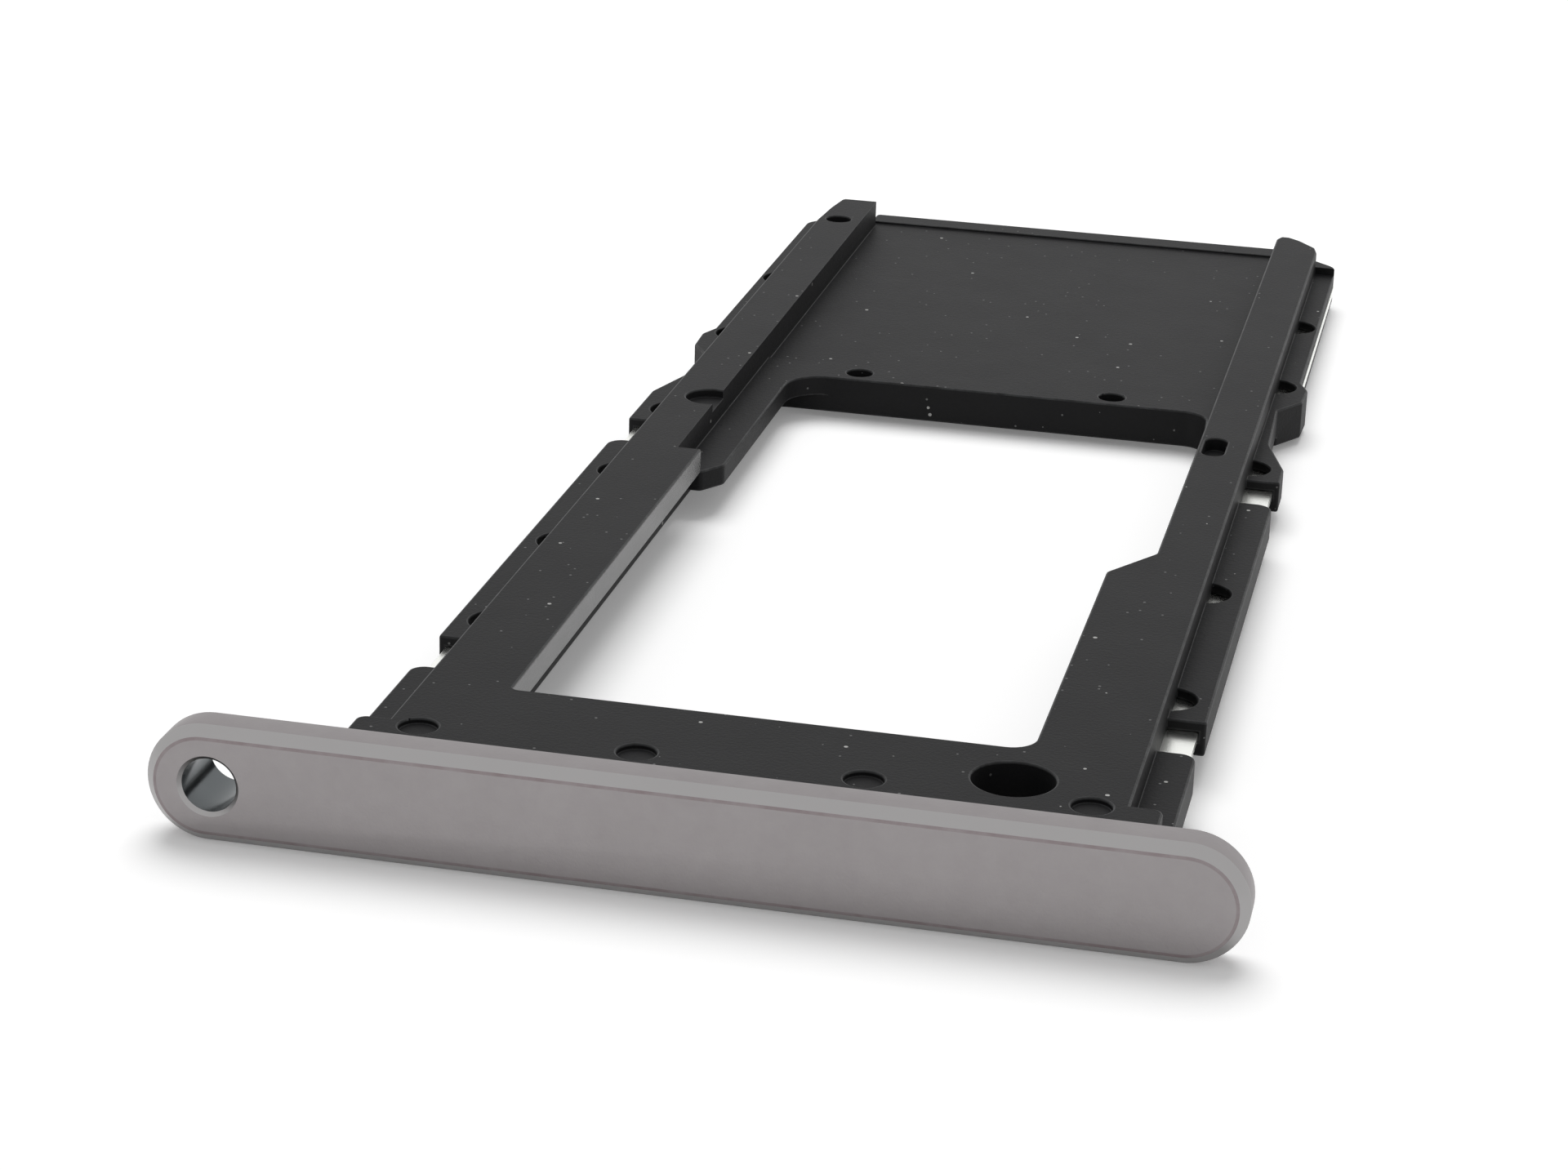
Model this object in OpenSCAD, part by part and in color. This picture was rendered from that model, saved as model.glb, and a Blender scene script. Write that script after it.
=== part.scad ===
/* [Face bar] */
// Length of the bar from end to end
bar_length = 19.62; // [18:0.02:21]
// Height of the bar
bar_height = 2.23; // [2:0.01:2.5]
// Depth of the bar from front to back
bar_depth = 0.82; // [0.7:0.01:1]
// Sideways distance from the middle of the carrier to the middle of the bar
bar_offset = -0.77; // [-1:0.01:0]
// Distance from the top of the rails down to the middle of the bar
bar_drop = 0.8; // [0.7:0.01:0.9]
// Width of the bright bevel round the front face
front_bevel = 0.19; // [0.1:0.01:0.25]
// Width of the small bevel round the back face
back_bevel = 0.08; // [0.04:0.01:0.12]

/* [Pin hole] */
// Diameter of the hole for the ejector pin
pin_hole_d = 1.02; // [0.9:0.01:1.2]
// Width of the bevel at the mouth of the pin hole
pin_hole_bevel = 0.07; // [0.03:0.01:0.12]
// Distance from the left end of the bar to the middle of the pin hole
pin_hole_inset = 1.2; // [1.1:0.01:1.5]

/* [Carrier frame] */
// Width across the two rails at the top
deck_width = 13.38; // [13:0.02:14]
// Thickness of the rails
deck_thickness = 1.48; // [1.4:0.01:1.6]
// Length of the whole tray from the front of the bar to the rear lip
tray_length = 41.5; // [41:0.1:43]
// Distance from the front of the bar to the ends of the two horns
horn_end = 40.2; // [39.5:0.05:40.5]
// Depth of the card seat below the top of the rails
seat_depth = 0.6; // [0.5:0.01:0.7]
// Width of the card seat between the rails
seat_width = 11.06; // [11:0.01:11.1]
// Extra width of the seat on each side in front of the small steps
seat_step = 0.04; // [0.02:0.01:0.06]
// Width of the long pocket in the top of the right rail
pocket_width = 0.5; // [0.3:0.01:0.6]

/* [Centre opening] */
// Front edge of the opening, from the front of the bar
opening_front = 4.05; // [3.8:0.01:4.2]
// Left edge of the opening, from the middle of the carrier
opening_left = 5; // [4.9:0.01:5.1]
// Right edge of the front half of the opening, from the middle of the carrier
opening_right = 4.68; // [4.5:0.01:4.8]
// Front end of the slope where the right rail gets narrower
slope_front = 13.47; // [12:0.01:14]
// Rear end of that slope
slope_rear = 14.84; // [14.5:0.01:16]
// Front edge of the cross bar, which is the rear edge of the opening
cross_bar_front = 26.33; // [25.8:0.01:26.4]
// Front end of the inner shelf on the left rail
shelf_front = 18.65; // [18:0.01:20]
// Distance from the middle of the carrier to the edge of the inner shelf
shelf_edge = 4.66; // [4.4:0.01:4.8]
// Thickness of the inner shelf
shelf_thickness = 0.48; // [0.4:0.01:0.6]
// Thickness of the rail edges that hang over the opening
overhang_thickness = 0.56; // [0.45:0.01:0.6]

/* [Side ledges] */
// Distance from the top of the rails down to the top of the ledges
ledge_drop = 0.58; // [0.5:0.01:0.65]
// Thickness of the ledges
ledge_thickness = 0.7; // [0.6:0.01:0.8]
// Width across the tray at the ledges
ledge_width = 14.97; // [14.8:0.01:15.1]
// Sideways distance from the middle of the carrier to the middle of the ledges
ledge_shift = -0.055; // [-0.1:0.005:0]
// Length of each open notch that shows the steel
notch_length = 1.55; // [1:0.05:1.8]
// Diameter of the round marks where mould pins held the steel
pin_mark_d = 1.15; // [0.9:0.01:1.2]

/* [Steel insert] */
// Thickness of the steel
steel_thickness = 0.18; // [0.12:0.01:0.2]
// Distance from the top of the ledges down to the top of the steel
steel_depth = 0.22; // [0.18:0.01:0.26]
// Width across the steel strips at the notches
steel_width = 14.67; // [14.5:0.01:14.7]
// Depth of the two steel tongues inside the face bar
tongue_reach = 0.4; // [0.2:0.01:0.5]

/* [Hidden] */
$fn = 64;
cut = 0.5;

// Heights, counted from the top of the rails
deck_half = deck_width / 2;
seat_half = seat_width / 2;
ledge_half = ledge_width / 2;
steel_half = steel_width / 2;
steel_top = -ledge_drop - steel_depth;
steel_bottom = steel_top - steel_thickness;
ledge_bottom = -ledge_drop - ledge_thickness;
plate_drop = 0.07;

// Face bar
end_radius = bar_height / 2;
bar_middle_z = -bar_drop;
bar_bottom = bar_middle_z - end_radius;
bar_left = bar_offset - bar_length / 2;
bar_right = bar_offset + bar_length / 2;
tongue_width = 2.4;
tongue_middle = 5.2;

// Positions along the tray, from the front of the bar
left_step = 18.44;
cross_bar_rear = 27.4;
lip_front = 40.75;
foot_end = 2.1;
foot_half = 7.28;
front_notch = 6;
rear_notch = 20.2;
rear_block = 39.6;

// Spots, marks and holes in the carrier
front_spots = [-6.1, -2.06, 2.04, 6.05];
right_marks = [8.55, 14.4, 22.6, 28.9, 34.1];
left_marks = [8.65, 13.4, 18.15, 22.7, 29.1, 34.3];
pin_mark_middle = 6.615;
round_hole = [4.56, 2.66];
round_hole_d = 1.5;
corner = 0.3;

module placed() {
    translate([-bar_offset, -tray_length / 2, -bar_bottom])
        children();
}

module shifted() {
    translate([ledge_shift, 0, 0])
        children();
}

module slab(bottom, top) {
    translate([0, 0, bottom])
        linear_extrude(height = top - bottom)
            children();
}

module half_edge() {
    polygon([
        [0, 0],
        [end_radius - front_bevel, 0],
        [end_radius, front_bevel],
        [end_radius, bar_depth - back_bevel],
        [end_radius - back_bevel, bar_depth],
        [0, bar_depth]
    ]);
}

module bar_end(x, turn) {
    translate([x, 0, bar_middle_z])
        rotate([-90, 0, 0])
            rotate([0, 0, turn])
                rotate_extrude(angle = 180)
                    half_edge();
}

module bar_body() {
    bar_end(bar_left + end_radius, 90);
    bar_end(bar_right - end_radius, -90);
    translate([bar_left + end_radius, 0, bar_middle_z])
        rotate([90, 0, 90])
            linear_extrude(height = bar_length - bar_height)
                polygon([
                    [0, front_bevel - end_radius],
                    [front_bevel, -end_radius],
                    [bar_depth - back_bevel, -end_radius],
                    [bar_depth, back_bevel - end_radius],
                    [bar_depth, end_radius - back_bevel],
                    [bar_depth - back_bevel, end_radius],
                    [front_bevel, end_radius],
                    [0, end_radius - front_bevel]
                ]);
}

module pin_hole() {
    translate([bar_left + pin_hole_inset, 0, bar_middle_z])
        rotate([-90, 0, 0]) {
            translate([0, 0, -cut])
                cylinder(h = bar_depth + 2 * cut, d = pin_hole_d);
            translate([0, 0, -pin_hole_bevel])
                cylinder(
                    h = 2 * pin_hole_bevel,
                    d1 = pin_hole_d + 4 * pin_hole_bevel,
                    d2 = pin_hole_d
                );
        }
}

module steel_tongues() {
    for (side = [-1, 1])
        translate([side * tongue_middle - tongue_width / 2, bar_depth - tongue_reach, steel_bottom])
            cube([tongue_width, tongue_reach + corner, steel_thickness]);
}

module face_bar() {
    color([0.57, 0.545, 0.545])
        placed()
            difference() {
                bar_body();
                pin_hole();
                steel_tongues();
            }
}

module opening_plan() {
    difference() {
        polygon([
            [-opening_left, opening_front],
            [opening_right, opening_front],
            [opening_right, slope_front],
            [seat_half, slope_rear],
            [seat_half, cross_bar_front],
            [-seat_half, cross_bar_front],
            [-seat_half, left_step],
            [-opening_left, left_step]
        ]);
        corner_fill([opening_right, opening_front], -1, 1, 0.5);
    }
}

module undercut_plan() {
    translate([-seat_half, opening_front])
        square([seat_width, cross_bar_front - opening_front]);
}

module corner_fill(at, sign_x, sign_y, radius) {
    difference() {
        polygon([
            at,
            [at[0] + sign_x * radius, at[1]],
            [at[0] + sign_x * radius, at[1] + sign_y * radius],
            [at[0], at[1] + sign_y * radius]
        ]);
        translate([at[0] + sign_x * radius, at[1] + sign_y * radius])
            circle(r = radius);
    }
}

module seat_plan() {
    polygon([
        [-seat_half, tray_length + cut],
        [-seat_half, 32.8],
        [-seat_half - seat_step, 32.8],
        [-seat_half - seat_step, left_step],
        [-opening_left, left_step],
        [seat_half + seat_step, slope_rear],
        [seat_half + seat_step, 35.5],
        [seat_half, 35.5],
        [seat_half, tray_length + cut]
    ]);
}

module deck_plan() {
    difference() {
        union() {
            polygon([
                [-deck_half, bar_depth],
                [deck_half, bar_depth],
                [deck_half, 39.3],
                [6.5, 39.8],
                [6.15, horn_end],
                [5.7, horn_end],
                [seat_half - 0.02, 39.9],
                [-seat_half + 0.02, 39.75],
                [-5.72, horn_end],
                [-6.3, horn_end],
                [-6.62, 38.6],
                [-deck_half, 37.6]
            ]);
            for (side = [-1, 1])
                foot_plan(side);
        }
        seat_plan();
    }
}

module foot_plan(side) {
    polygon([
        [0, bar_depth],
        [side * foot_half, bar_depth],
        [side * foot_half, foot_end - 0.15],
        [side * (foot_half - 0.15), foot_end],
        [0, foot_end]
    ]);
}

module ledge_plan(side, neck_front, flare_front) {
    polygon([
        [side * 6.3, bar_depth],
        [side * ledge_half, bar_depth],
        [side * ledge_half, front_notch - corner],
        [side * (ledge_half - corner), front_notch],
        [side * 6.3, front_notch]
    ]);
    polygon([
        [side * 6.3, front_notch + notch_length],
        [side * ledge_half, front_notch + notch_length],
        [side * ledge_half, rear_notch - corner],
        [side * (ledge_half - corner), rear_notch],
        [side * 6.3, rear_notch]
    ]);
    polygon([
        [side * 6.3, rear_notch + notch_length],
        [side * ledge_half, rear_notch + notch_length],
        [side * ledge_half, flare_front],
        [side * 7, neck_front],
        [side * 6.93, 27],
        [side * (ledge_half - 0.06), 27.85],
        [side * ledge_half, 28.1],
        [side * ledge_half, 28.7],
        [side * 7.28, 29.35],
        [side * 7.265, 39.45],
        [side * 7.1, 39.9],
        [side * 6.6, 40.15],
        [side * 6.3, 40.15]
    ]);
}

module tab_plan(side) {
    polygon([
        [side * 6.3, 27],
        [side * 6.93, 27],
        [side * (ledge_half - 0.06), 27.85],
        [side * ledge_half, 28.1],
        [side * ledge_half, 28.7],
        [side * 7.28, 29.35],
        [side * 6.3, 29.35]
    ]);
}

module ledges() {
    slab(ledge_bottom, -ledge_drop) {
        ledge_plan(1, 24.4, 22.7);
        ledge_plan(-1, 25.6, 24);
    }
    slab(-deck_thickness, -ledge_drop)
        for (side = [-1, 1])
            tab_plan(side);
    slab(-ledge_drop, -ledge_drop + 0.2)
        for (side = [-1, 1])
            polygon([
                [side * 6.3, rear_block],
                [side * 7.14, rear_block],
                [side * 7.08, 39.9],
                [side * 6.6, 40.15],
                [side * 6.3, 40.15]
            ]);
}

module shelf_plan() {
    polygon([
        [-seat_half - corner, shelf_front],
        [-5.05, shelf_front],
        [-shelf_edge, shelf_front + 0.6],
        [-shelf_edge, 24.9],
        [-4.6, 25.6],
        [-4.3, cross_bar_front],
        [-4.3, cross_bar_rear],
        [-seat_half - corner, cross_bar_rear]
    ]);
}

module cross_bar_plan() {
    polygon([
        [-seat_half - corner, 25.35],
        [-seat_half, 25.35],
        [-5.2, 26.05],
        [-4.75, cross_bar_front],
        [4.75, cross_bar_front],
        [5.2, 26.05],
        [seat_half, 25.35],
        [seat_half + corner, 25.35],
        [seat_half + corner, cross_bar_rear],
        [-seat_half - corner, cross_bar_rear]
    ]);
}

module plate_plan() {
    polygon([
        [-seat_half - corner, cross_bar_rear - corner],
        [seat_half + corner, cross_bar_rear - corner],
        [seat_half + corner, 39.6],
        [seat_half + 0.12, 40.1],
        [seat_half, 40.15],
        [seat_half, tray_length - 0.1],
        [seat_half - 0.1, tray_length],
        [0.1 - seat_half, tray_length],
        [-seat_half, tray_length - 0.1],
        [-seat_half, 40.15],
        [-seat_half - 0.12, 40.1],
        [-seat_half - corner, 39.6]
    ]);
}

module seat_level() {
    slab(-deck_thickness, -seat_depth)
        cross_bar_plan();
    slab(-seat_depth - shelf_thickness, -seat_depth)
        shelf_plan();
    slab(-deck_thickness, -seat_depth - plate_drop)
        plate_plan();
    slab(-seat_depth - plate_drop - 0.1, -seat_depth)
        intersection() {
            plate_plan();
            translate([-seat_half, lip_front])
                square([seat_width, tray_length]);
        }
}

module spot(x, y, diameter, top, depth) {
    translate([x, y, top - depth])
        cylinder(h = depth + cut, d = diameter);
}

module carrier_spots() {
    for (x = front_spots)
        spot(x, 1.9, 0.72, 0, 0.11);
    spot(-6.15, 38.45, 0.66, 0, 0.22);
    spot(-3.16, 26.9, 0.62, -seat_depth, 0.22);
    spot(2.96, 26.85, 0.62, -seat_depth, 0.22);
    spot(-3.09, 41.1, 0.4, -seat_depth, 0.12);
    spot(2.97, 41.1, 0.4, -seat_depth, 0.12);
    translate([round_hole[0], round_hole[1], -deck_thickness - cut])
        cylinder(h = deck_thickness + 2 * cut, d = round_hole_d);
}

module rail_pockets() {
    spot(-5.72, 22.15, 1.1, 0, 0.33);
    slab(-overhang_thickness + 0.06, cut)
        for (y = [21.72, 22.48])
            translate([5.9, y])
                circle(d = pocket_width);
    slab(-overhang_thickness + 0.06, cut)
        translate([5.9 - pocket_width / 2, 21.72])
            square([pocket_width, 0.76]);
}

module pin_marks(side, places) {
    for (y = places)
        slab(steel_top, 0)
            intersection() {
                translate([side * pin_mark_middle, y])
                    circle(d = pin_mark_d);
                translate([side * (deck_half - ledge_shift * side + 1), y])
                    square(2, center = true);
            }
}

module steel_strip_plan(side) {
    polygon([
        [side * 6, bar_depth],
        [side * steel_half, bar_depth],
        [side * steel_half, 23.6],
        [side * 6.8, 24.8],
        [side * 6.8, 26.9],
        [side * steel_half, 28.05],
        [side * steel_half, 28.7],
        [side * 7.25, 29],
        [side * 7.3, 29.8],
        [side * 7.3, 39],
        [side * 6, 39]
    ]);
}

module steel_shape() {
    slab(steel_bottom, steel_top)
        difference() {
            union() {
                translate([ledge_shift, 0])
                    for (side = [-1, 1])
                        steel_strip_plan(side);
                translate([-6.5, 1.15])
                    square([13, 2.5]);
            }
            translate(round_hole)
                circle(d = round_hole_d + 0.6);
        }
    steel_tongues();
}

module rails() {
    difference() {
        slab(-deck_thickness, 0)
            deck_plan();
        slab(-overhang_thickness - cut, cut)
            opening_plan();
        slab(-deck_thickness - cut, -overhang_thickness)
            undercut_plan();
    }
}

module carrier() {
    color([0.07, 0.07, 0.07])
        placed()
            difference() {
                union() {
                    rails();
                    seat_level();
                    shifted()
                        ledges();
                }
                steel_shape();
                carrier_spots();
                rail_pockets();
                shifted() {
                    pin_marks(1, right_marks);
                    pin_marks(-1, left_marks);
                }
            }
}

module steel_insert() {
    color([0.75, 0.75, 0.73])
        placed()
            steel_shape();
}

face_bar();
carrier();
steel_insert();
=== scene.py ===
import math

import bmesh
import bpy
from mathutils import Matrix, Vector
from mathutils.geometry import delaunay_2d_cdt


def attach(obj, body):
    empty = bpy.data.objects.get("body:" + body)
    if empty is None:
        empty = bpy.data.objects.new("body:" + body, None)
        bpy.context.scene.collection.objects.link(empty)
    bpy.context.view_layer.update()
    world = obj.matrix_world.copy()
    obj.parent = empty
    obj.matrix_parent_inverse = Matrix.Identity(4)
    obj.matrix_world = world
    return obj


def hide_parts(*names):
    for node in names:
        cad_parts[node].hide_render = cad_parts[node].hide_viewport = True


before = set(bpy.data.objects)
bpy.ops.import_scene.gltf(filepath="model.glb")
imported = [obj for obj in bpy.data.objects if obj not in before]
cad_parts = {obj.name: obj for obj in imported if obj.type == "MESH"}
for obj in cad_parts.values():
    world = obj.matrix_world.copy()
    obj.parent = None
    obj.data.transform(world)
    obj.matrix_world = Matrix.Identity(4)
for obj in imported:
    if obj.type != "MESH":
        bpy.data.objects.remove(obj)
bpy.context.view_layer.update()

# Sizes are in millimetres from the middle of the carrier, the front of the
# face bar and the top of the rails. to_frame() moves them into the CAD frame.
BAR_OFFSET = -0.77
TRAY_LENGTH = 41.5
BAR_LENGTH = 19.62
BAR_HEIGHT = 2.23
BAR_DEPTH = 0.82
BAR_MIDDLE_Z = -0.8
FRONT_BEVEL = 0.19
BACK_BEVEL = 0.08
PIN_HOLE_D = 1.02
PIN_HOLE_BEVEL = 0.07
PIN_HOLE_INSET = 1.2
COLLAR_D = 1.5
COLLAR_END = 1.5
COLLAR_EDGE = 0.05

DECK_HALF = 6.69
DECK_THICKNESS = 1.48
OVERHANG = 0.56
HORN_END = 40.6
SEAT_HALF = 5.53
SEAT_DEPTH = 0.6
PLATE_DROP = 0.07
CROSS_BAR_FRONT = 26.33
CROSS_BAR_REAR = 27.4
LIP_FRONT = 40.75
LIP_EXTRA = 0.13
SHELF_FRONT = 18.65
SHELF_EDGE = 4.66
SHELF_THICKNESS = 0.48
OPENING_FRONT = 4.05
OPENING_LEFT = 5.0
OPENING_RIGHT = 4.68
SLOPE_FRONT = 13.47
SLOPE_REAR = 14.84
LEFT_STEP = 18.44

LEDGE_DROP = 0.58
LEDGE_THICKNESS = 0.7
LEDGE_HALF = 7.485
LEDGE_SHIFT = -0.055
LEDGE_ROOT = 6.3
NOTCH_LENGTH = 1.55
FRONT_NOTCH = 6.0
REAR_NOTCH = 20.2
FOOT_HALF = 7.28
FOOT_END = 2.1
REAR_BLOCK = 39.2
BLOCK_HEIGHT = 0.2

STEEL_TOP = -0.8
STEEL_THICKNESS = 0.18
STEEL_HALF = 7.335
TONGUE_REACH = 0.4
TONGUE_WIDTH = 2.4
TONGUE_MIDDLE = 5.2

RIGHT_MARKS = (8.55, 14.4, 22.6, 28.9, 34.1)
LEFT_MARKS = (8.65, 13.4, 18.15, 22.7, 29.1, 34.3)
MARK_MIDDLE = 6.615
MARK_D = 1.15
ROUND_HOLE = (4.56, 2.66)
ROUND_HOLE_D = 1.5

PLASTIC_COLOUR = (0.009, 0.009, 0.0095)
FLOOR_LIFT = 0.17
AMBIENT_LIGHT = 0.4
PLASTIC_EDGE = 0.045
STEEL_EDGE = 0.015
SHARP_ANGLE = math.radians(30)
CUT = 0.5  # how far a cut reaches past the surface it opens

PIN_HOLE_X = BAR_OFFSET - BAR_LENGTH / 2 + PIN_HOLE_INSET
STEEL_BOTTOM = STEEL_TOP - STEEL_THICKNESS

# Material slots of the carrier and of the face bar.
EDGE_SLOT, WALL_SLOT = 1, 2
BEVEL_SLOT, HOLE_SLOT, LINE_SLOT = 1, 2, 3


def to_frame(mesh):
    """Millimetres in the tray's own places become metres in the CAD frame."""
    place = Vector((-BAR_OFFSET, -TRAY_LENGTH / 2, BAR_HEIGHT / 2 - BAR_MIDDLE_Z))
    mesh.transform(Matrix.Scale(0.001, 4) @ Matrix.Translation(place))


def rounded(corners, steps=8):
    """An outline whose corners (x, y, radius) are rounded."""
    points = []
    count = len(corners)
    for i, corner in enumerate(corners):
        here = Vector(corner[:2])
        radius = corner[2] if len(corner) > 2 else 0
        if not radius:
            points.append(here)
            continue
        back = (Vector(corners[i - 1][:2]) - here).normalized()
        ahead = (Vector(corners[(i + 1) % count][:2]) - here).normalized()
        half = back.angle(ahead) / 2
        centre = here + (back + ahead).normalized() * radius / math.sin(half)
        first = here + back * radius / math.tan(half) - centre
        last = here + ahead * radius / math.tan(half) - centre
        turn = first.angle_signed(last)
        for step in range(steps + 1):
            points.append(centre + Matrix.Rotation(-turn * step / steps, 2) @ first)
    return points


def circle(x, y, diameter, steps=40):
    return [
        Vector((x + math.cos(a) * diameter / 2, y + math.sin(a) * diameter / 2))
        for a in (2 * math.pi * i / steps for i in range(steps))
    ]


def mirrored(corners):
    """The same corners on the left side, in the order that layered() needs."""
    return [(-c[0], *c[1:]) for c in reversed(corners)]


def add(outline, bottom, top):
    return outline, round(bottom, 4), round(top, 4), True


def cut(outline, bottom, top):
    return outline, round(bottom, 4), round(top, 4), False


def layered(steps):
    """A piece with upright walls, from outlines that add or cut in turn.

    All the outlines are drawn on one plan, which splits into patches. The
    steps then say at which heights each patch is filled.
    """
    points, loops = [], []
    for outline, *_ in steps:
        loops.append(list(range(len(points), len(points) + len(outline))))
        points.extend(Vector(p[:2]) for p in outline)
    plan = delaunay_2d_cdt(points, [], loops, 3, 1e-4)
    places, patches, owners = plan[0], plan[2], plan[5]
    levels = sorted({height for step in steps for height in step[1:3]})
    bm = bmesh.new()
    corners = {}

    def corner(place, level):
        if (place, level) not in corners:
            corners[place, level] = bm.verts.new((*places[place], levels[level]))
        return corners[place, level]

    sides = {}
    for patch, inside in zip(patches, owners):
        filled = set()
        for i in sorted(inside):
            _, bottom, top, adds = steps[i]
            span = {k for k in range(len(levels) - 1) if bottom <= levels[k] < top}
            filled = filled | span if adds else filled - span
        for k in range(len(levels)):
            if (k in filled) != (k - 1 in filled):
                bm.faces.new([corner(i, k) for i in patch])
        for ends in zip(patch, patch[1:] + patch[:1]):
            sides.setdefault(tuple(sorted(ends)), []).append(filled)
    for (a, b), pair in sides.items():
        for k in pair[0] ^ (pair[1] if len(pair) > 1 else set()):
            wall = (a, k), (b, k), (b, k + 1), (a, k + 1)
            bm.faces.new([corner(*place) for place in wall])
    bmesh.ops.recalc_face_normals(bm, faces=bm.faces)
    bmesh.ops.dissolve_limit(
        bm, angle_limit=math.radians(1), verts=bm.verts, edges=bm.edges
    )
    return scratch(bm)


def ring(radius, y, steps=64):
    """Points round the pin hole's axis, at depth y."""
    return [
        (PIN_HOLE_X + radius * math.cos(a), y, BAR_MIDDLE_Z + radius * math.sin(a))
        for a in (2 * math.pi * i / steps for i in range(steps))
    ]


def lofted(rings, closed=False):
    """A piece skinned over rings of points, with flat ends unless it is closed."""
    bm = bmesh.new()
    rings = [[bm.verts.new(point) for point in points] for points in rings]
    for low, high in zip(rings, rings[1:] + (rings[:1] if closed else [])):
        for i in range(len(low)):
            j = (i + 1) % len(low)
            bm.faces.new((low[i], low[j], high[j], high[i]))
    if not closed:
        bm.faces.new(rings[0])
        bm.faces.new(rings[-1])
    bmesh.ops.recalc_face_normals(bm, faces=bm.faces)
    return scratch(bm)


def scratch(bm):
    """A new piece in the scene, from a bmesh that is used up."""
    mesh = bpy.data.meshes.new("scratch")
    bm.to_mesh(mesh)
    bm.free()
    piece = bpy.data.objects.new("scratch", mesh)
    bpy.context.scene.collection.objects.link(piece)
    return piece


def apply_modifiers(piece):
    """The piece's modifiers go into its mesh and are removed."""
    graph = bpy.context.evaluated_depsgraph_get()
    mesh = bpy.data.meshes.new_from_object(piece.evaluated_get(graph))
    piece.modifiers.clear()
    piece.data = mesh


def cut_away(piece, others):
    for other in others:
        change = piece.modifiers.new("cut", "BOOLEAN")
        change.operation = "DIFFERENCE"
        change.solver = "EXACT"
        change.object = other
        apply_modifiers(piece)
        bpy.data.objects.remove(other)


def shade(piece):
    """Smooth over the round parts and sharp at the edges."""
    piece.data.shade_smooth()
    piece.data.set_sharp_from_angle(angle=SHARP_ANGLE)


def edge_share(edge, width):
    """How much of the rounding an edge takes: less in corners and on low steps."""
    if len(edge.link_faces) != 2 or edge.calc_face_angle(0) < SHARP_ANGLE:
        return 0
    along = (edge.verts[1].co - edge.verts[0].co).normalized()
    room = width if edge.is_convex else width * 0.35
    for vert in edge.verts:
        for other in vert.link_edges:
            reach = other.verts[1].co - other.verts[0].co
            if other is not edge and abs(reach.normalized().dot(along)) < 0.8:
                room = min(room, 0.4 * reach.length)
    return room / width


def soften(piece, width, edge_slot=0):
    """Real rounded edges, as wide as the place allows."""
    bm = bmesh.new()
    bm.from_mesh(piece.data)
    share = bm.edges.layers.float.new("bevel_weight_edge")
    for edge in bm.edges:
        edge[share] = edge_share(edge, width)
    bm.to_mesh(piece.data)
    bm.free()
    piece.data.shade_smooth()
    bevel = piece.modifiers.new("edge", "BEVEL")
    bevel.width = width
    bevel.segments = 2
    bevel.limit_method = "WEIGHT"
    bevel.use_clamp_overlap = False
    bevel.harden_normals = True
    bevel.material = edge_slot
    for _ in range(edge_slot + 1):
        piece.data.materials.append(PLASTIC)
    apply_modifiers(piece)


def finished(piece, name, materials, node=None):
    """The piece goes to its place in the frame and gets its materials."""
    piece.name = name
    piece.data.name = name
    to_frame(piece.data)
    slots = [face.material_index for face in piece.data.polygons]
    piece.data.materials.clear()
    for material in materials:
        piece.data.materials.append(material)
    piece.data.polygons.foreach_set("material_index", slots)
    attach(piece, "root")
    if node:
        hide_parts(node)


# Shader groups


def new_group(name, inputs, outputs):
    """A shader group with these inputs and their values, and these outputs."""
    group = bpy.data.node_groups.new(name, "ShaderNodeTree")
    for label, value in inputs.items():
        socket = group.interface.new_socket(
            label, in_out="INPUT", socket_type="NodeSocketFloat"
        )
        socket.default_value = value
    for label, kind in outputs.items():
        group.interface.new_socket(label, in_out="OUTPUT", socket_type=kind)
    return group, group.nodes.new("NodeGroupInput"), group.nodes.new("NodeGroupOutput")


def math_node(nodes, link, operation, *values):
    """The output of a Math node; each value is a number or a socket."""
    node = nodes.new("ShaderNodeMath")
    node.operation = operation
    for socket, value in zip(node.inputs, values):
        if isinstance(value, (int, float)):
            socket.default_value = value
        else:
            link(value, socket)
    return node.outputs[0]


def noise(nodes, link, place, size_socket, detail):
    """Noise whose grains are as many millimetres across as the socket says."""
    scale = math_node(nodes, link, "DIVIDE", 1000, size_socket)
    texture = nodes.new("ShaderNodeTexNoise")
    texture.inputs["Detail"].default_value = detail
    texture.inputs["Roughness"].default_value = 0.7
    link(place.outputs["Object"], texture.inputs["Vector"])
    link(scale, texture.inputs["Scale"])
    return texture.outputs["Fac"]


def grain_group():
    """A fine even grain as a height, and slow changes of gloss as a value."""
    group, given, out = new_group(
        "Fine grain",
        {"Grain size mm": 0.1, "Patch size mm": 1.5, "Least": 0.4, "Most": 0.5},
        {"Height": "NodeSocketFloat", "Roughness": "NodeSocketFloat"},
    )
    nodes, link = group.nodes, group.links.new
    place = nodes.new("ShaderNodeTexCoord")
    fine = noise(nodes, link, place, given.outputs["Grain size mm"], 3)
    link(fine, out.inputs["Height"])
    patches = noise(nodes, link, place, given.outputs["Patch size mm"], 2)
    spread = nodes.new("ShaderNodeMapRange")
    spread.inputs["From Min"].default_value = 0.3
    spread.inputs["From Max"].default_value = 0.7
    link(patches, spread.inputs["Value"])
    link(given.outputs["Least"], spread.inputs["To Min"])
    link(given.outputs["Most"], spread.inputs["To Max"])
    link(spread.outputs["Result"], out.inputs["Roughness"])
    return group


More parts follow.
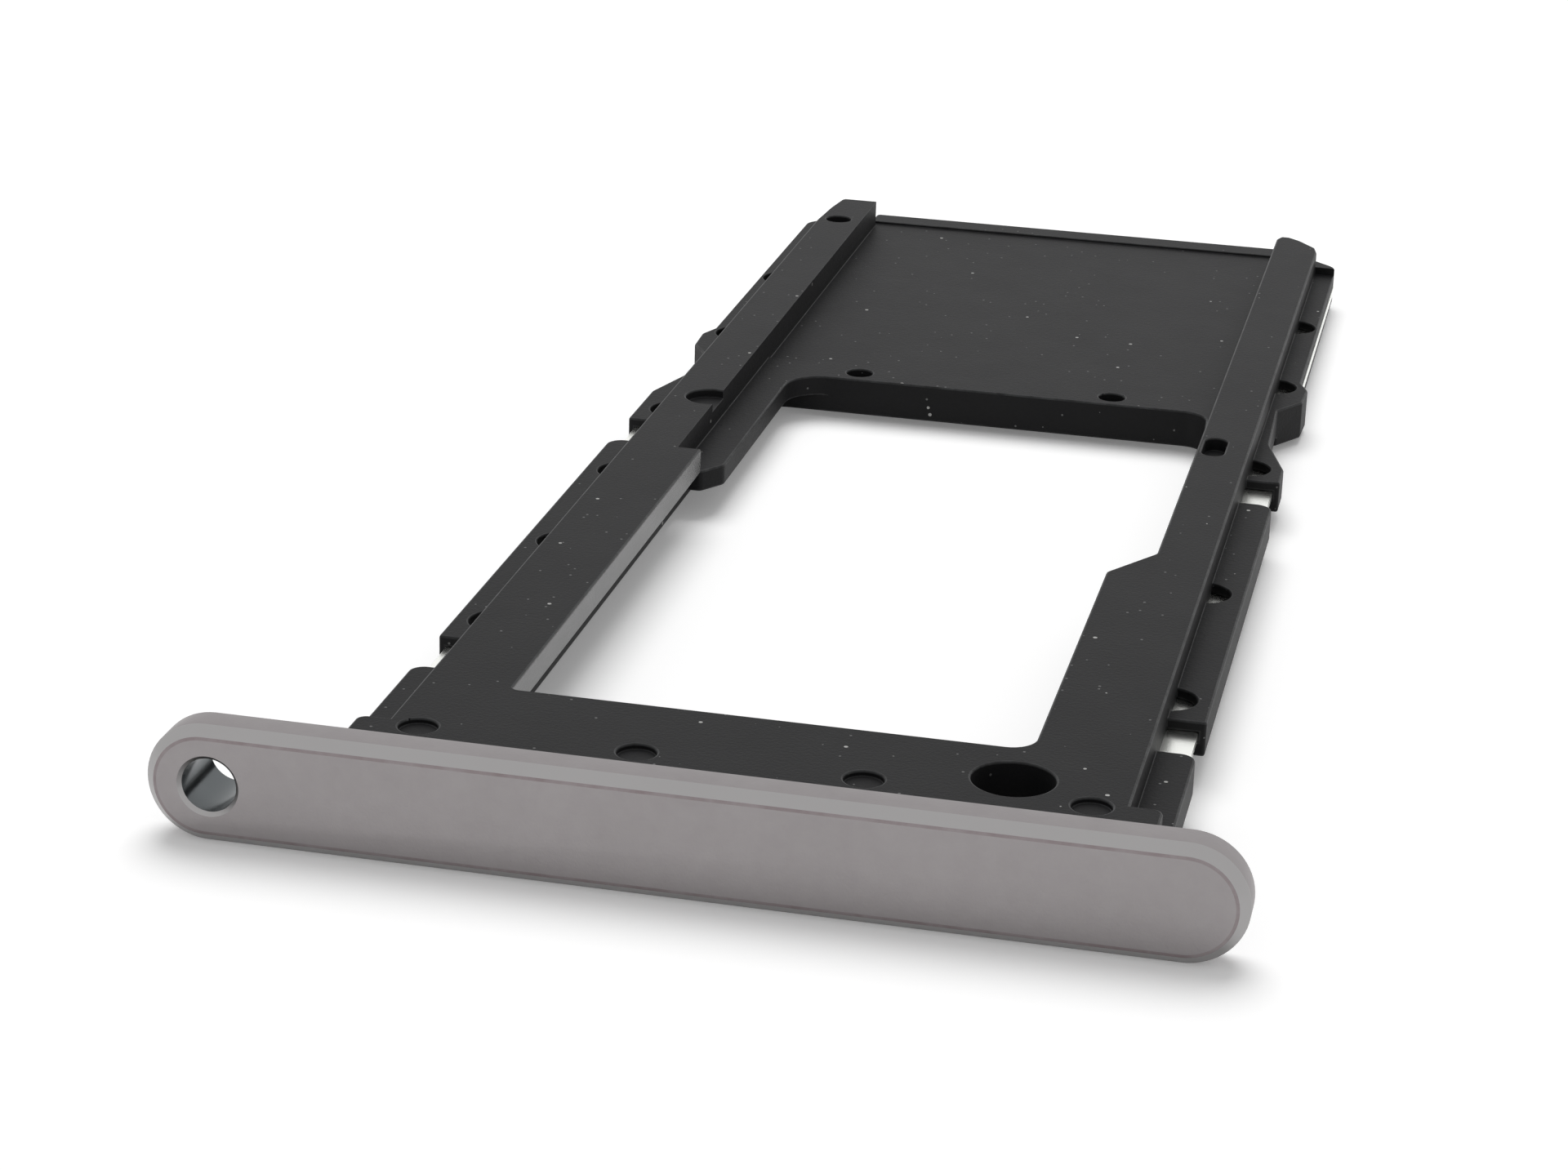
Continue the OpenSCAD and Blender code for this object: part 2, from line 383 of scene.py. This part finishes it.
def dust_group():
    """Scattered light specks as a mask."""
    group, given, out = new_group(
        "Dust specks",
        {"Spacing mm": 1.0, "Speck size": 0.05, "Share": 0.4},
        {"Mask": "NodeSocketFloat"},
    )
    nodes, link = group.nodes, group.links.new
    place = nodes.new("ShaderNodeTexCoord")
    scale = math_node(nodes, link, "DIVIDE", 1000, given.outputs["Spacing mm"])
    cells = nodes.new("ShaderNodeTexVoronoi")
    link(place.outputs["Object"], cells.inputs["Vector"])
    link(scale, cells.inputs["Scale"])
    reach, share = given.outputs["Speck size"], given.outputs["Share"]
    near = math_node(nodes, link, "LESS_THAN", cells.outputs["Distance"], reach)
    split = nodes.new("ShaderNodeSeparateColor")
    link(cells.outputs["Color"], split.inputs[0])
    chosen = math_node(nodes, link, "LESS_THAN", split.outputs["Red"], share)
    link(math_node(nodes, link, "MULTIPLY", near, chosen), out.inputs["Mask"])
    return group


def patch_mask_group():
    """Broken patches as a mask: wear on the rounded edges, clouds on the bar and the
    bevel line, and painted reflection on the smooth wall.
    """
    group, given, out = new_group(
        "Patch mask",
        {"Patch size mm": 0.5, "Amount": 0.8},
        {"Mask": "NodeSocketFloat"},
    )
    nodes, link = group.nodes, group.links.new
    place = nodes.new("ShaderNodeTexCoord")
    patches = noise(nodes, link, place, given.outputs["Patch size mm"], 3)
    broken = nodes.new("ShaderNodeMapRange")
    broken.inputs["From Min"].default_value = 0.35
    broken.inputs["From Max"].default_value = 0.65
    link(patches, broken.inputs["Value"])
    link(given.outputs["Amount"], broken.inputs["To Max"])
    link(broken.outputs["Result"], out.inputs["Mask"])
    return group


GRAIN = grain_group()
PATCH_MASK = patch_mask_group()
DUST = dust_group()


def new_material(name, colour, roughness, metallic=0.0):
    """A plain material, with what is needed to add nodes to it."""
    material = bpy.data.materials.new(name)
    material.use_nodes = True
    shader = material.node_tree.nodes["Principled BSDF"]
    shader.inputs["Base Color"].default_value = (*colour, 1)
    shader.inputs["Roughness"].default_value = roughness
    shader.inputs["Metallic"].default_value = metallic
    return material, material.node_tree.nodes, material.node_tree.links.new, shader


def add_grain(nodes, link, shader, size, height, least, most):
    """Grain of this size and height in mm, and roughness from least to most."""
    grain = nodes.new("ShaderNodeGroup")
    grain.node_tree = GRAIN
    grain.inputs["Grain size mm"].default_value = size
    grain.inputs["Least"].default_value = least
    grain.inputs["Most"].default_value = most
    bump = nodes.new("ShaderNodeBump")
    bump.inputs["Strength"].default_value = 1
    bump.inputs["Distance"].default_value = height / 1000
    link(grain.outputs["Height"], bump.inputs["Height"])
    link(bump.outputs["Normal"], shader.inputs["Normal"])
    link(grain.outputs["Roughness"], shader.inputs["Roughness"])


def add_tone(nodes, link, shader, before, group, values, colour):
    """Where the group's mask says so, the colour so far turns to this one."""
    mask = nodes.new("ShaderNodeGroup")
    mask.node_tree = group
    for label, value in values.items():
        mask.inputs[label].default_value = value
    tone = nodes.new("ShaderNodeMix")
    tone.data_type = "RGBA"
    if isinstance(before, tuple):
        tone.inputs["A"].default_value = (*before, 1)
    else:
        link(before, tone.inputs["A"])
    tone.inputs["B"].default_value = (*colour, 1)
    link(mask.outputs["Mask"], tone.inputs["Factor"])
    link(tone.outputs["Result"], shader.inputs["Base Color"])
    return tone.outputs["Result"]


def plastic(name, roughness, specular):
    """What the carrier's three finishes share."""
    material, nodes, link, shader = new_material(name, PLASTIC_COLOUR, roughness)
    shader.inputs["Specular IOR Level"].default_value = specular
    add_grain(nodes, link, shader, 0.08, 0.008, roughness - 0.01, roughness + 0.01)
    return material, nodes, link, shader


def moulded_plastic():
    material, nodes, link, shader = plastic("Moulded plastic", 0.55, 0.13)
    powder = {"Spacing mm": 0.22, "Speck size": 0.12, "Share": 0.2}
    colour = (0.12, 0.12, 0.12)
    fine = add_tone(nodes, link, shader, PLASTIC_COLOUR, DUST, powder, colour)
    specks = {"Spacing mm": 0.7, "Speck size": 0.06, "Share": 0.25}
    add_tone(nodes, link, shader, fine, DUST, specks, (0.4, 0.4, 0.39))
    return material


def worn_plastic_edge():
    material, nodes, link, shader = plastic("Worn plastic edge", 0.48, 0.2)
    worn = {"Patch size mm": 0.5, "Amount": 0.9}
    add_tone(nodes, link, shader, PLASTIC_COLOUR, PATCH_MASK, worn, (0.035, 0.036, 0.037))
    return material


def smooth_plastic_wall():
    material, nodes, link, shader = plastic("Smooth plastic wall", 0.26, 0.5)
    # Painted reflection: lighter broken patches brighten the wall for the floor it
    # reflects.
    painted_reflection = {"Patch size mm": 0.8, "Amount": 0.6}
    add_tone(nodes, link, shader, PLASTIC_COLOUR, PATCH_MASK, painted_reflection, (0.03, 0.03, 0.029))
    return material


def satin_bar():
    colour = (0.3, 0.283, 0.285)
    material, nodes, link, shader = new_material("Satin aluminium", colour, 0.42, 1.0)
    add_grain(nodes, link, shader, 0.06, 0.004, 0.38, 0.46)
    clouds = {"Patch size mm": 0.4, "Amount": 0.35}
    add_tone(nodes, link, shader, colour, PATCH_MASK, clouds, (0.27, 0.25, 0.255))
    return material


def bevel_line():
    colour = (0.22, 0.185, 0.19)
    material, nodes, link, shader = new_material("Bevel line", colour, 0.4, 1.0)
    add_grain(nodes, link, shader, 0.06, 0.002, 0.38, 0.44)
    worn = {"Patch size mm": 0.6, "Amount": 0.8}
    add_tone(nodes, link, shader, colour, PATCH_MASK, worn, (0.27, 0.245, 0.25))
    return material


def bare_metal(name, colour, roughness, grain_size, least, most):
    """One metal colour, with fine grain and roughness from least to most."""
    material, nodes, link, shader = new_material(name, colour, roughness, 1.0)
    add_grain(nodes, link, shader, grain_size, 0.001, least, most)
    return material


# The cut bevel's smoother finish is its own; its colour, lighter than the bar's, is
# painted light for a bevel that faces up to the light.
def cut_bevel_painted_light():
    return bare_metal("Cut bevel with painted light", (0.34, 0.332, 0.332), 0.36, 0.04, 0.32, 0.4)


# Painted shade: the pin hole's wall and its collar are coloured dark for the shade
# inside the hole.
def shaded_hole_wall():
    return bare_metal("Hole wall with painted shade", (0.11, 0.12, 0.125), 0.25, 0.05, 0.16, 0.28)


def rolled_steel():
    return bare_metal("Rolled steel", (0.94, 0.95, 0.91), 0.25, 0.05, 0.2, 0.3)


# Pieces


def opening_outline():
    """The opening seen from above, wider behind the right rail's slope."""
    return rounded([
        (-OPENING_LEFT, OPENING_FRONT, 0.12),
        (OPENING_RIGHT, OPENING_FRONT, 0.5),
        (OPENING_RIGHT, SLOPE_FRONT, 0.25),
        (SEAT_HALF, SLOPE_REAR, 0.25),
        (SEAT_HALF, CROSS_BAR_FRONT),
        (-SEAT_HALF, CROSS_BAR_FRONT),
        (-SEAT_HALF, LEFT_STEP),
        (-OPENING_LEFT, LEFT_STEP),
    ])


def undercut_outline():
    """The rails are cut back under their top edges, all round the opening."""
    return rounded([
        (-SEAT_HALF, OPENING_FRONT, 0.3),
        (SEAT_HALF, OPENING_FRONT, 0.3),
        (SEAT_HALF, CROSS_BAR_FRONT),
        (-SEAT_HALF, CROSS_BAR_FRONT),
    ])


def seat_outline():
    """The card's seat; its front crosses the opening, which is open already."""
    return rounded([
        (-SEAT_HALF, TRAY_LENGTH + CUT),
        (-SEAT_HALF, LEFT_STEP),
        (-OPENING_LEFT, LEFT_STEP),
        (SEAT_HALF, 16.0),
        (SEAT_HALF, TRAY_LENGTH + CUT),
    ])


FOOT_CORNERS = [
    (0, BAR_DEPTH),
    (FOOT_HALF, BAR_DEPTH),
    (FOOT_HALF, FOOT_END, 0.2),
    (0, FOOT_END),
]


def deck_outline():
    """The outside of the two rails, up to the rear ends that stand clear."""
    return rounded([
        (-DECK_HALF, BAR_DEPTH),
        (DECK_HALF, BAR_DEPTH),
        (DECK_HALF, 39.3, 0.2),
        (6.6, 39.75, 0.1),
        (6.15, HORN_END - 0.25, 0.15),
        (5.85, HORN_END, 0.1),
        (5.63, HORN_END, 0.06),
        (SEAT_HALF - 0.02, HORN_END - 0.35),
        (-SEAT_HALF + 0.02, HORN_END - 0.35),
        (-SEAT_HALF + 0.02, HORN_END),
        (-6.47, HORN_END, 0.12),
        (-6.6, 39.6, 0.3),
        (-DECK_HALF, 38.2, 0.3),
    ])


def shelf_outline():
    """The thin shelf on the left, in front of the cross bar."""
    return rounded([
        (-SEAT_HALF - 0.3, SHELF_FRONT),
        (-5.05, SHELF_FRONT, 0.15),
        (-SHELF_EDGE, SHELF_FRONT + 0.6, 0.3),
        (-SHELF_EDGE, CROSS_BAR_FRONT, 0.9),
        (-3.4, CROSS_BAR_FRONT),
        (-3.4, CROSS_BAR_REAR - 0.2),
        (-SEAT_HALF - 0.3, CROSS_BAR_REAR - 0.2),
    ])


def cross_bar_outline():
    return rounded([
        (-SEAT_HALF - 0.3, 25.2),
        (-SEAT_HALF, 25.2, 0.1),
        (-SEAT_HALF, CROSS_BAR_FRONT, 0.8),
        (5.3, CROSS_BAR_FRONT, 0.6),
        (SEAT_HALF - 0.18, 25.3, 0.1),
        (SEAT_HALF + 0.3, 25.2),
        (SEAT_HALF + 0.3, CROSS_BAR_REAR),
        (-SEAT_HALF - 0.3, CROSS_BAR_REAR),
    ])


def plate_outline():
    """The plate that the card lies on, a little lower than the cross bar."""
    front = CROSS_BAR_REAR - 0.3
    return rounded([
        (-SEAT_HALF - 0.3, front),
        (SEAT_HALF + 0.3, front),
        (SEAT_HALF + 0.3, 39.6),
        (SEAT_HALF + 0.12, 40.1),
        (SEAT_HALF, 40.15),
        (SEAT_HALF, TRAY_LENGTH, 0.1),
        (-SEAT_HALF - LIP_EXTRA, TRAY_LENGTH, 0.1),
        (-SEAT_HALF - LIP_EXTRA, 40.1),
        (-SEAT_HALF - 0.3, 39.6),
    ])


def lip_outline():
    return rounded([
        (-SEAT_HALF - LIP_EXTRA, LIP_FRONT),
        (SEAT_HALF, LIP_FRONT),
        (SEAT_HALF, TRAY_LENGTH, 0.1),
        (-SEAT_HALF - LIP_EXTRA, TRAY_LENGTH, 0.1),
    ])


def ledge_outlines(neck_front, flare_front, rear_end):
    """A right ledge's front, middle and rear stretches, and its tab."""
    front = [
        (LEDGE_ROOT, BAR_DEPTH),
        (LEDGE_HALF, BAR_DEPTH),
        (LEDGE_HALF, FRONT_NOTCH, 0.3),
        (LEDGE_ROOT, FRONT_NOTCH),
    ]
    middle = [
        (LEDGE_ROOT, FRONT_NOTCH + NOTCH_LENGTH),
        (LEDGE_HALF, FRONT_NOTCH + NOTCH_LENGTH, 0.06),
        (LEDGE_HALF, REAR_NOTCH, 0.35),
        (LEDGE_ROOT, REAR_NOTCH),
    ]
    tab = [
        (6.93, 27.0, 0.15),
        (LEDGE_HALF - 0.04, 27.85, 0.15),
        (LEDGE_HALF, 28.8, 0.3),
        (7.28, 29.35, 0.1),
    ]
    rear = [
        (LEDGE_ROOT, REAR_NOTCH + NOTCH_LENGTH),
        (LEDGE_HALF, REAR_NOTCH + NOTCH_LENGTH, 0.06),
        (LEDGE_HALF, flare_front, 0.4),
        (7.0, neck_front, 0.8),
        *tab,
        (7.265, rear_end - 0.6, 0.5),
        (6.6, rear_end, 0.1),
        (LEDGE_ROOT, rear_end),
    ]
    tab = [(LEDGE_ROOT, 27.0), *tab, (LEDGE_ROOT, 29.35)]
    return front, middle, rear, tab


def shifted(outline):
    """The ledges and the steel sit a little to the left of the rails."""
    return [(p[0] + LEDGE_SHIFT, p[1]) for p in outline]


def ledge_steps():
    """Both ledges: three stretches each, a deep tab, a rear block, pin marks."""
    bottom, top = -LEDGE_DROP - LEDGE_THICKNESS, -LEDGE_DROP
    block_top = top + BLOCK_HEIGHT
    right = ledge_outlines(neck_front=24.4, flare_front=22.7, rear_end=39.95)
    left = ledge_outlines(neck_front=25.6, flare_front=23.9, rear_end=40.6)
    left = [mirrored(corners) for corners in left]
    steps = []
    for side, outlines, places in ((1, right, RIGHT_MARKS), (-1, left, LEFT_MARKS)):
        front, middle, rear, tab = (shifted(rounded(corners)) for corners in outlines)
        steps += [add(front, bottom, top), add(middle, bottom, top)]
        if side > 0:
            before_block = [(6, 0), (8, 0), (8, REAR_BLOCK), (6, REAR_BLOCK)]
            steps += [add(rear, bottom, block_top), cut(before_block, top, block_top)]
        else:
            steps.append(add(rear, bottom, top))
        steps.append(add(tab, -DECK_THICKNESS, top))
        middles = [(side * MARK_MIDDLE + LEDGE_SHIFT, y, 0) for y in places]
        steps += [cut(mark, STEEL_TOP, top) for mark in round_marks(middles, MARK_D)]
    return steps


def mark_tree():
    """Geometry Nodes: the outline of a round mark round each point of a mesh."""
    tree = bpy.data.node_groups.new("Round marks", "GeometryNodeTree")
    for label, way, kind in (
        ("Points", "INPUT", "NodeSocketGeometry"),
        ("Diameter", "INPUT", "NodeSocketFloat"),
        ("Sides", "INPUT", "NodeSocketInt"),
        ("Finish", "INPUT", "NodeSocketMaterial"),
        ("Marks", "OUTPUT", "NodeSocketGeometry"),
    ):
        tree.interface.new_socket(label, in_out=way, socket_type=kind)
    nodes, link = tree.nodes, tree.links.new
    given = nodes.new("NodeGroupInput")
    radius = math_node(nodes, link, "DIVIDE", given.outputs["Diameter"], 2)
    disc = nodes.new("GeometryNodeMeshCircle")
    disc.fill_type = "NGON"
    spread = nodes.new("GeometryNodeInstanceOnPoints")
    solid = nodes.new("GeometryNodeRealizeInstances")
    finish = nodes.new("GeometryNodeSetMaterial")
    out = nodes.new("NodeGroupOutput")
    link(radius, disc.inputs["Radius"])
    link(given.outputs["Sides"], disc.inputs["Vertices"])
    link(given.outputs["Points"], spread.inputs["Points"])
    link(disc.outputs["Mesh"], spread.inputs["Instance"])
    link(spread.outputs["Instances"], solid.inputs["Geometry"])
    link(solid.outputs["Geometry"], finish.inputs["Geometry"])
    link(given.outputs["Finish"], finish.inputs["Material"])
    link(finish.outputs["Geometry"], out.inputs["Marks"])
    return tree


def round_marks(middles, diameter, sides=40):
    """The outlines that the tree of round marks gives for these middles."""
    mesh = bpy.data.meshes.new("middles")
    mesh.from_pydata(middles, [], [])
    piece = bpy.data.objects.new("marks", mesh)
    bpy.context.scene.collection.objects.link(piece)
    maker = piece.modifiers.new("marks", "NODES")
    maker.node_group = MARKS
    values = {"Diameter": diameter, "Sides": sides, "Finish": PLASTIC}
    for socket in MARKS.interface.items_tree:
        if socket.in_out == "INPUT" and socket.name in values:
            maker[socket.identifier] = values[socket.name]
    apply_modifiers(piece)
    places, discs = piece.data.vertices, piece.data.polygons
    outlines = [[places[i].co.xy for i in disc.vertices] for disc in discs]
    bpy.data.objects.remove(piece)
    return outlines


def mark_steps():
    """The shallow marks of the mould's pins, and the pockets in the rails."""
    # Middles, diameter, top and depth of each set.
    sets = [
        ([(x, 1.9, 0) for x in (-6.1, -2.06, 2.04, 6.05)], 0.72, 0, 0.11),
        ([(-6.15, 38.45, 0)], 0.66, 0, 0.22),
        ([(x, 26.88, 0) for x in (-3.16, 2.96)], 0.62, -SEAT_DEPTH, 0.22),
        ([(x, 41.1, 0) for x in (-3.09, 2.97)], 0.4, -SEAT_DEPTH, 0.12),
        ([(-5.72, 22.15, 0)], 1.1, 0, 0.2),
    ]
    steps = []
    for middles, diameter, top, depth in sets:
        for outline in round_marks(middles, diameter):
            steps.append(cut(outline, top - depth, top))
    pocket = rounded([
        (5.65, 21.47, 0.249),
        (6.15, 21.47, 0.249),
        (6.15, 22.73, 0.249),
        (5.65, 22.73, 0.249),
    ])
    steps.append(cut(pocket, -0.3, 0))
    return steps


def steel_outlines():
    strip = [
        (6.0, BAR_DEPTH),
        (STEEL_HALF, BAR_DEPTH),
        (STEEL_HALF, 23.6),
        (6.8, 24.8),
        (6.8, 26.9),
        (STEEL_HALF, 28.05),
        (STEEL_HALF, 28.7),
        (7.2, 28.9),
        (7.2, 29.45),
        (7.3, 29.45),
        (7.3, 39.0),
        (6.0, 39.0),
    ]
    return strip, mirrored(strip)


def tongue_outlines(front=BAR_DEPTH - TONGUE_REACH, rear=1.4):
    half = TONGUE_WIDTH / 2
    return [
        [(x - half, front), (x + half, front), (x + half, rear), (x - half, rear)]
        for x in (-TONGUE_MIDDLE, TONGUE_MIDDLE)
    ]


def steel_plans():
    """The steel's two strips and the bridge between them, and its round gap."""
    strips = [shifted(corners) for corners in steel_outlines()]
    bridge = [(-6.5, 1.15), (6.5, 1.15), (6.5, 3.65), (-6.5, 3.65)]
    return strips + [bridge], circle(*ROUND_HOLE, ROUND_HOLE_D + 0.6)


def mark_smooth_walls(body):
    """The left rail's walls in the opening come smooth from the mould; their lighter
    patches are a painted reflection.
    """
    for face in body.data.polygons:
        x, y, z = face.center
        beside = -SEAT_HALF - 0.1 < x < -OPENING_LEFT + 0.1
        if beside and OPENING_FRONT < y < LEFT_STEP and face.normal.x > 0.8:
            face.material_index = WALL_SLOT


def make_carrier():
    bottom, seat, plate = -DECK_THICKNESS, -SEAT_DEPTH, -SEAT_DEPTH - PLATE_DROP
    plans, gap = steel_plans()
    steps = ledge_steps() + [
        add(deck_outline(), bottom, 0),
        add(rounded(FOOT_CORNERS), bottom, 0),
        add(rounded(mirrored(FOOT_CORNERS)), bottom, 0),
        cut(opening_outline(), -OVERHANG, 0),
        cut(undercut_outline(), bottom, -OVERHANG),
        cut(seat_outline(), bottom, 0),
        add(cross_bar_outline(), bottom, seat),
        add(shelf_outline(), seat - SHELF_THICKNESS, seat),
        add(plate_outline(), bottom, plate),
        add(lip_outline(), plate, seat),
    ]
    steps += [cut(plan, STEEL_BOTTOM, STEEL_TOP) for plan in plans]
    steps += [cut(plan, STEEL_BOTTOM, STEEL_TOP) for plan in tongue_outlines()]
    steps += [add(gap, STEEL_BOTTOM, STEEL_TOP)] + mark_steps()
    steps += [cut(circle(*ROUND_HOLE, ROUND_HOLE_D, 64), bottom, 0)]
    body = layered(steps)
    soften(body, PLASTIC_EDGE, EDGE_SLOT)
    mark_smooth_walls(body)
    materials = [PLASTIC, worn_plastic_edge(), smooth_plastic_wall()]
    finished(body, "carrier_frame", materials, "carrier")


def make_steel():
    plans, gap = steel_plans()
    steps = [add(plan, STEEL_BOTTOM, STEEL_TOP) for plan in plans]
    steps.append(cut(gap, STEEL_BOTTOM, STEEL_TOP))
    steps += [add(plan, STEEL_BOTTOM, STEEL_TOP) for plan in tongue_outlines()]
    strip = layered(steps)
    soften(strip, STEEL_EDGE)
    finished(strip, "steel_strip", [rolled_steel()], "steel_insert")


def bar_ring(inset, y, steps=32):
    """Points round the bar's face, in from its edge by inset, at depth y."""
    radius = BAR_HEIGHT / 2
    reach = BAR_LENGTH / 2 - radius
    points = []
    for side in (1, -1):
        for i in range(steps + 1):
            a = math.pi * i / steps - math.pi / 2
            points.append((
                BAR_OFFSET + side * (reach + (radius - inset) * math.cos(a)),
                y,
                BAR_MIDDLE_Z + side * (radius - inset) * math.sin(a),
            ))
    return points


def make_bar():
    """The bar is lofted from its front face, over the bevel, to its back."""
    section = [(FRONT_BEVEL + 0.05, 0.0), (FRONT_BEVEL - 0.01, 0.01)]
    section += [(0.012, FRONT_BEVEL - 0.012), (0.0, FRONT_BEVEL + 0.012)]
    section += [(0.0, BAR_DEPTH - BACK_BEVEL), (BACK_BEVEL, BAR_DEPTH)]
    bar = lofted([bar_ring(*place) for place in section])

    radius = PIN_HOLE_D / 2
    profile = [(radius + 4 * PIN_HOLE_BEVEL, -3 * PIN_HOLE_BEVEL)]
    profile += [(radius + PIN_HOLE_BEVEL, 0.0), (radius, PIN_HOLE_BEVEL)]
    profile += [(radius, BAR_DEPTH + CUT)]
    hole = lofted([ring(*place) for place in profile])
    tongues = tongue_outlines(rear=BAR_DEPTH + CUT)
    slits = layered([add(plan, STEEL_BOTTOM, STEEL_TOP) for plan in tongues])
    cut_away(bar, [hole, slits])
    shade(bar)
    # The hole's wall gets a dark colour as painted shade.
    wall = shaded_hole_wall()
    materials = [satin_bar(), cut_bevel_painted_light(), wall, bevel_line()]
    finished(bar, "face_bar_metal", materials, "face_bar")
    mark_bar_faces(bar)
    make_collar(wall)


def make_collar(wall):
    """A short collar carries the pin hole on behind the bar, coloured with the hole
    wall's dark painted shade.
    """
    inner, outer = PIN_HOLE_D / 2 + 0.004, COLLAR_D / 2
    section = [(inner, BAR_DEPTH), (outer, BAR_DEPTH)]
    section += [(outer, COLLAR_END - COLLAR_EDGE)]
    section += [(outer - COLLAR_EDGE, COLLAR_END), (inner, COLLAR_END)]
    collar = lofted([ring(*place) for place in section], closed=True)
    shade(collar)
    finished(collar, "pin_hole_collar", [wall])


def mark_bar_faces(bar):
    """The bevel, its line and the hole's wall take their own materials: the hole's
    wall is painted dark as shade, and the bevel's lighter colour is partly painted
    light.
    """
    hole = Vector((-BAR_LENGTH / 2 + PIN_HOLE_INSET, BAR_HEIGHT / 2)) / 1000
    reach = (PIN_HOLE_D / 2 + 0.01) / 1000
    bevel_end = (-TRAY_LENGTH / 2 + 0.25) / 1000
    for face in bar.data.polygons:
        middle = Vector((face.center.x, face.center.z))
        slant = face.normal.y
        if (middle - hole).length < reach and abs(slant) < 0.9:
            face.material_index = HOLE_SLOT
        elif -0.95 < slant < -0.3 and face.center.y < bevel_end:
            face.material_index = BEVEL_SLOT
        elif -0.999 < slant < -0.9:
            face.material_index = LINE_SLOT


# Stage


def make_floor():
    """The floor touches the bar's bottom edge and the rear of the carrier."""
    front_y = (BAR_DEPTH / 2 - TRAY_LENGTH / 2) / 1000
    rear_y = TRAY_LENGTH / 2000
    rear_z = (BAR_HEIGHT / 2 - BAR_MIDDLE_Z - DECK_THICKNESS) / 1000
    slope = rear_z / (rear_y - front_y)
    size, gap = 1.5, 2e-6
    plan = [(-size, -size), (size, -size), (size, size), (-size, size)]
    corners = [(x, y, (y - front_y) * slope - gap) for x, y in plan]
    mesh = bpy.data.meshes.new("floor")
    mesh.from_pydata(corners, [], [(0, 1, 2, 3)])
    floor = bpy.data.objects.new("floor", mesh)
    bpy.context.scene.collection.objects.link(floor)
    material, nodes, link, shader = new_material("Pale floor", (0.93, 0.93, 0.93), 0.9)
    shader.inputs["Specular IOR Level"].default_value = 0
    path = nodes.new("ShaderNodeLightPath").outputs
    rays = path["Is Camera Ray"], path["Is Glossy Ray"]
    seen = math_node(nodes, link, "MAXIMUM", *rays)
    lift = math_node(nodes, link, "MULTIPLY", seen, FLOOR_LIFT)
    shader.inputs["Emission Color"].default_value = (1, 1, 1, 1)
    link(lift, shader.inputs["Emission Strength"])
    mesh.materials.append(material)


def make_world():
    """White where it is seen or reflected, and a weaker light on the object."""
    world = bpy.data.worlds.new("Studio")
    bpy.context.scene.world = world
    world.use_nodes = True
    nodes, link = world.node_tree.nodes, world.node_tree.links.new
    nodes.clear()
    path = nodes.new("ShaderNodeLightPath").outputs
    mix = nodes.new("ShaderNodeMixShader")
    for socket, strength in zip(mix.inputs[1:], (AMBIENT_LIGHT, 1.0)):
        white = nodes.new("ShaderNodeBackground")
        white.inputs["Color"].default_value = (1, 1, 1, 1)
        white.inputs["Strength"].default_value = strength
        link(white.outputs[0], socket)
    rays = path["Is Camera Ray"], path["Is Glossy Ray"]
    direct = math_node(nodes, link, "MAXIMUM", *rays)
    clear = math_node(nodes, link, "MAXIMUM", direct, path["Is Transmission Ray"])
    link(clear, mix.inputs["Fac"])
    out = nodes.new("ShaderNodeOutputWorld")
    link(mix.outputs[0], out.inputs["Surface"])


def make_lamp(name, place, size, power):
    lamp = bpy.data.lights.new(name, "AREA")
    lamp.shape = "DISK"
    lamp.size = size
    lamp.energy = power
    lamp_object = bpy.data.objects.new(name, lamp)
    lamp_object.visible_glossy = False
    lamp_object.location = place
    lamp_object.rotation_euler = (-Vector(place)).to_track_quat("-Z", "Y").to_euler()
    bpy.context.scene.collection.objects.link(lamp_object)


def make_camera():
    """The photograph's viewpoint, solved from the tray's straight edges."""
    pitch, roll, yaw = (math.radians(a) for a in (20.814, 1.851, 12.106))
    ahead = Vector((
        -math.sin(yaw) * math.cos(pitch),
        math.cos(yaw) * math.cos(pitch),
        -math.sin(pitch),
    ))
    level = Vector((math.cos(yaw), math.sin(yaw), 0))
    upward = level.cross(ahead)
    right = level * math.cos(roll) + upward * math.sin(roll)
    up = upward * math.cos(roll) - level * math.sin(roll)
    camera = bpy.data.cameras.new("camera")
    camera.sensor_fit = "HORIZONTAL"
    camera.sensor_width = 36
    camera.lens = 83.12
    camera.clip_start = 0.001
    camera.clip_end = 10
    eye = bpy.data.objects.new("camera", camera)
    eye.location = (0.01347, -0.07571, 0.027465)
    turn = Matrix((right, up, -ahead)).transposed()
    eye.rotation_mode = "QUATERNION"
    eye.rotation_quaternion = turn.to_quaternion()
    bpy.context.scene.collection.objects.link(eye)
    bpy.context.scene.camera = eye


bpy.context.scene.view_settings.view_transform = "Standard"
PLASTIC = moulded_plastic()
MARKS = mark_tree()
make_carrier()
make_steel()
make_bar()
make_floor()
make_world()
make_lamp("Overhead", (-0.05, 0.2, 0.46), 0.42, 1.85)
make_camera()
